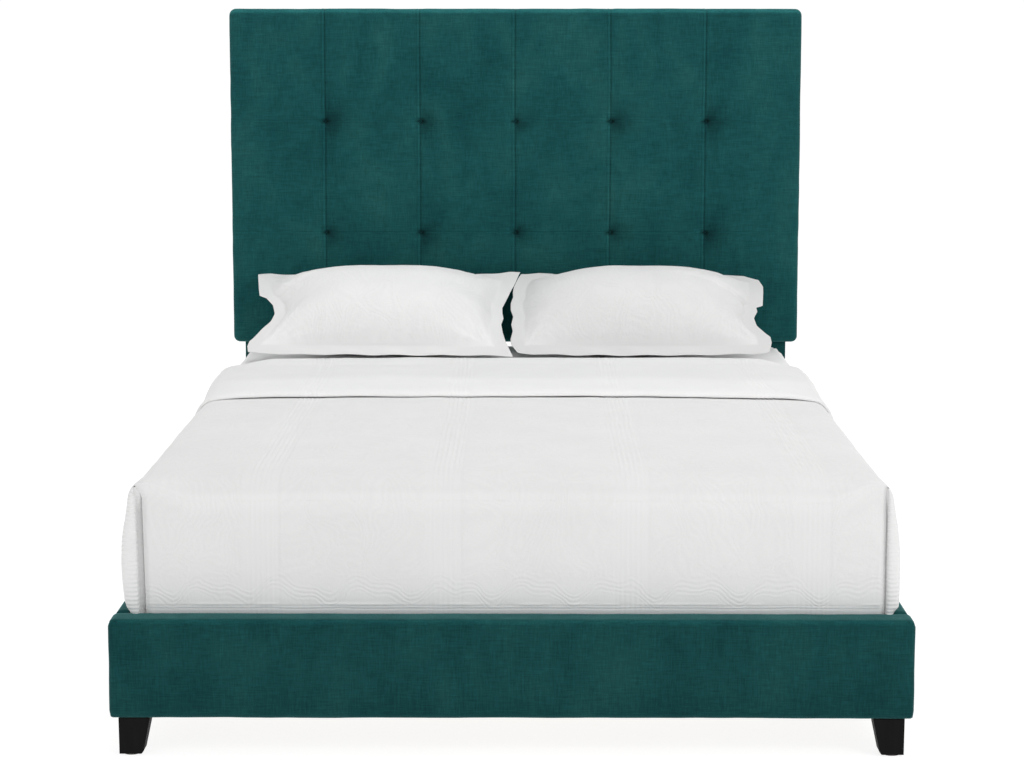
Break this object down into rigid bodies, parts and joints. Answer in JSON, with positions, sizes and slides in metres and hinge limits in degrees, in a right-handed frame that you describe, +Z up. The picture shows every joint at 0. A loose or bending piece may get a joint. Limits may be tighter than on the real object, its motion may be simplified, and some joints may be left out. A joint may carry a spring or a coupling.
{
  "type": "upholstered headboard bed",
  "caption": "Bed with a tall tufted velvet headboard, low wrapped footboard and rails, tapered front legs, and a dressed mattress with quilted coverlet and flanged pillows.",
  "frame": {"origin": "on the floor, at the middle of the bed's footprint", "axes": "+Z up, +Y towards the headboard, +X to the right seen from the foot of the bed"},
  "size_m": [1.638, 2.186, 1.524],
  "materials": {
    "teal_velvet": "matte",
    "upholstery_foam": "matte",
    "wadding": "matte",
    "plywood": "satin",
    "pine": "satin",
    "dust_cloth": "matte",
    "twine": "matte",
    "zinc_steel": "satin",
    "black_steel": "satin",
    "brass": "satin",
    "black_wood": "satin",
    "black_plastic": "matte",
    "webbing": "matte",
    "ticking": "matte",
    "felt_pad": "matte",
    "spring_pockets": "matte",
    "white_sheet": "matte",
    "quilted_cotton": "matte",
    "sham_cotton": "matte"
  },
  "bodies": {
    "frame": {"headboard_cover": "teal_velvet", "headboard_foam": "upholstery_foam", "headboard_edge_wadding": "wadding", "headboard_panel": "plywood", "headboard_frame": "pine", "headboard_back_cloth": "dust_cloth", "tuft_buttons": "teal_velvet", "tuft_twines": "twine", "tuft_toggles": "pine", "headboard_post_left": "pine", "headboard_post_right": "pine", "post_cover_left": "teal_velvet", "post_cover_right": "teal_velvet", "post_screws": "zinc_steel", "headboard_lower_rail": "pine", "rear_glides": "black_plastic", "footboard_frame": "pine", "footboard_panel_front": "plywood", "footboard_panel_rear": "plywood", "footboard_foam": "upholstery_foam", "footboard_cover": "teal_velvet", "front_leg_left": "black_wood", "front_leg_right": "black_wood", "front_leg_bolts": "zinc_steel", "front_glides": "black_plastic", "side_rail_left": "plywood", "side_rail_right": "plywood", "side_rail_foam_left": "upholstery_foam", "side_rail_foam_right": "upholstery_foam", "side_rail_cover_left": "teal_velvet", "side_rail_cover_right": "teal_velvet", "slat_ledger_left": "pine", "slat_ledger_right": "pine", "ledger_screws": "zinc_steel", "corner_brackets": "black_steel", "corner_bolts": "zinc_steel", "threaded_inserts": "brass", "bracket_screws": "zinc_steel", "center_beam": "pine", "beam_hangers": "black_steel", "center_leg_front": "black_wood", "center_leg_middle": "black_wood", "center_leg_rear": "black_wood", "center_leg_plates": "zinc_steel", "slats": "pine", "slat_webbing": "webbing"},
    "mattress": {"mattress_cover": "ticking", "mattress_tape_edges": "ticking", "mattress_top_pad": "felt_pad", "mattress_bottom_pad": "felt_pad", "mattress_springs": "spring_pockets", "fitted_sheet": "white_sheet", "coverlet": "quilted_cotton"},
    "pillow_left": {"pillow_insert_left": "ticking", "sham_left": "sham_cotton"},
    "pillow_right": {"pillow_insert_right": "ticking", "sham_right": "sham_cotton"},
    "leveler_front": {"leveler_front": "black_plastic"},
    "leveler_middle": {"leveler_middle": "black_plastic"},
    "leveler_rear": {"leveler_rear": "black_plastic"}
  },
  "joints": [
    {"name": "mattress_lift", "type": "slide", "parent": "frame", "child": "mattress", "axis": [0, 0, 1], "range_m": [0, 0.35]},
    {"name": "pillow_left_lift", "type": "slide", "parent": "mattress", "child": "pillow_left", "axis": [0, 0, 1], "range_m": [0, 0.3]},
    {"name": "pillow_right_lift", "type": "slide", "parent": "mattress", "child": "pillow_right", "axis": [0, 0, 1], "range_m": [0, 0.3]},
    {"name": "leveler_front_screw", "type": "slide", "parent": "frame", "child": "leveler_front", "axis": [0, 0, -1], "range_m": [0, 0.015]},
    {"name": "leveler_middle_screw", "type": "slide", "parent": "frame", "child": "leveler_middle", "axis": [0, 0, -1], "range_m": [0, 0.015]},
    {"name": "leveler_rear_screw", "type": "slide", "parent": "frame", "child": "leveler_rear", "axis": [0, 0, -1], "range_m": [0, 0.015]}
  ]
}
